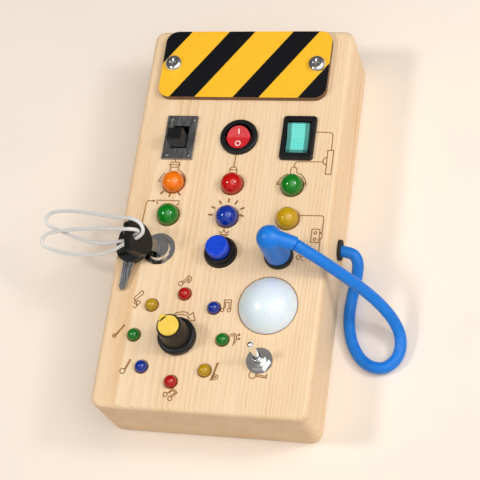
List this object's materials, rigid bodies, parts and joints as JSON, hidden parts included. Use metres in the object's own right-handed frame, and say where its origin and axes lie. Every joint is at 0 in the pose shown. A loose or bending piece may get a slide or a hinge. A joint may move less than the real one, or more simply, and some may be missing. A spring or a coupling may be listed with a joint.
{
  "type": "busy board",
  "caption": "Wooden busy board: pine block with switches, a keyed lock, a push button, a plug on a cord, a turning knob and coloured lamps on its face.",
  "frame": {"origin": "middle of the board's flat back face, on which it lies", "axes": "+Z out of the front face, +Y up the board towards the striped plate, +X to the right seen from the front"},
  "size_m": [0.1686, 0.184, 0.06],
  "materials": {
    "pine": "sanded pine, clear matt finish",
    "mdf_panel": "thin brown board",
    "striped": "printed yellow and near-black stripes",
    "chrome": "bright plated",
    "steel": "zinc plated",
    "brass": "plain brass",
    "black_plastic": "semi-gloss black",
    "red_rocker": "translucent red",
    "green_rocker": "translucent green",
    "blue_cap": "semi-gloss blue",
    "yellow_cap": "semi-gloss yellow",
    "lamp_orange": "tinted epoxy",
    "lamp_red": "tinted epoxy",
    "lamp_green": "tinted epoxy",
    "lamp_blue": "tinted epoxy",
    "lamp_yellow": "tinted epoxy",
    "milky": "milky diffuser",
    "circuit": "green circuit board",
    "cell": "plain wrap",
    "blue_rubber": "soft silicone, satin",
    "black_rubber": "matt black",
    "white_cord": "braided over a wire core"
  },
  "bodies": {
    "board": {"back_panel": "mdf_panel", "battery_case": "black_plastic", "battery_cells": "cell", "battery_contacts": "steel", "blue_cord": "blue_rubber", "cord_grommet": "black_rubber", "dome_circuit": "circuit", "dome_lens": "milky", "green_rocker_case": "black_plastic", "key_loop": "white_cord", "lamp_blue": "lamp_blue", "lamp_circuit": "circuit", "lamp_green_lower": "lamp_green", "lamp_green_upper": "lamp_green", "lamp_orange": "lamp_orange", "lamp_red": "lamp_red", "lamp_yellow": "lamp_yellow", "lock_barrel": "chrome", "lock_nut": "steel", "panel_screws": "steel", "plate_screw_1": "chrome", "plate_screw_2": "chrome", "push_bezel": "black_plastic", "push_nut": "steel", "ring_circuit": "circuit", "ring_lamp_1": "lamp_red", "ring_lamp_2": "lamp_blue", "ring_lamp_3": "lamp_green", "ring_lamp_4": "lamp_yellow", "ring_lamp_5": "lamp_red", "ring_lamp_6": "lamp_blue", "ring_lamp_7": "lamp_green", "ring_lamp_8": "lamp_yellow", "rotary_switch": "black_plastic", "round_rocker_case": "black_plastic", "slide_case": "black_plastic", "slide_plate": "steel", "socket_barrel": "black_plastic", "socket_nut": "steel", "spare_key_blade": "steel", "spare_key_head": "black_plastic", "striped_plate": "striped", "toggle_case": "steel", "toggle_nut": "chrome", "wood_body": "pine"},
    "slide": {"slide_knob": "black_plastic"},
    "red_rocker_body": {"round_rocker": "red_rocker"},
    "green_rocker_body": {"green_rocker": "green_rocker"},
    "key": {"lock_plug": "chrome", "key_blade": "steel", "key_head": "black_plastic"},
    "push": {"push_cap": "blue_cap"},
    "plug": {"plug_boot": "blue_rubber", "plug_pin": "brass"},
    "toggle": {"toggle_lever": "chrome"},
    "knob": {"knob_shaft": "steel", "knob_body": "black_plastic", "knob_cap": "yellow_cap"},
    "door": {"battery_door": "black_plastic", "battery_door_screw": "steel"}
  },
  "joints": [
    {"name": "slide_switch", "type": "slide", "parent": "board", "child": "slide", "axis": [0, 1, 0], "range_m": [0, 0.0045]},
    {"name": "red_rocker_tip", "type": "hinge", "parent": "board", "child": "red_rocker_body", "pos_m": [0.0009, 0.0363, 0.0336], "axis": [-1, 0, 0], "range_deg": [0, 18]},
    {"name": "green_rocker_tip", "type": "hinge", "parent": "board", "child": "green_rocker_body", "pos_m": [0.0281, 0.0363, 0.0336], "axis": [-1, 0, 0], "range_deg": [0, 18]},
    {"name": "key_turn", "type": "hinge", "parent": "board", "child": "key", "pos_m": [-0.0276, -0.01929, 0.035], "axis": [0, 0, 1], "range_deg": [0, 90], "deforming": ["key_loop"]},
    {"name": "push_press", "type": "slide", "parent": "board", "child": "push", "axis": [0, 0, -1], "range_m": [0, 0.0025], "stiffness_N_per_m": 200},
    {"name": "plug_pull", "type": "slide", "parent": "board", "child": "plug", "axis": [0, 0, 1], "range_m": [0, 0.016], "deforming": ["blue_cord"]},
    {"name": "toggle_throw", "type": "hinge", "parent": "board", "child": "toggle", "pos_m": [0.0244, -0.0676, 0.0378], "axis": [0.8829, 0.4695, 0], "range_deg": [0, 28]},
    {"name": "knob_turn", "type": "hinge", "parent": "board", "child": "knob", "pos_m": [-0.0128, -0.05919, 0.035], "axis": [0, 0, 1], "range_deg": [-225, 90]},
    {"name": "battery_door_lift", "type": "slide", "parent": "board", "child": "door", "axis": [0, 0, -1], "range_m": [0, 0.02]}
  ]
}
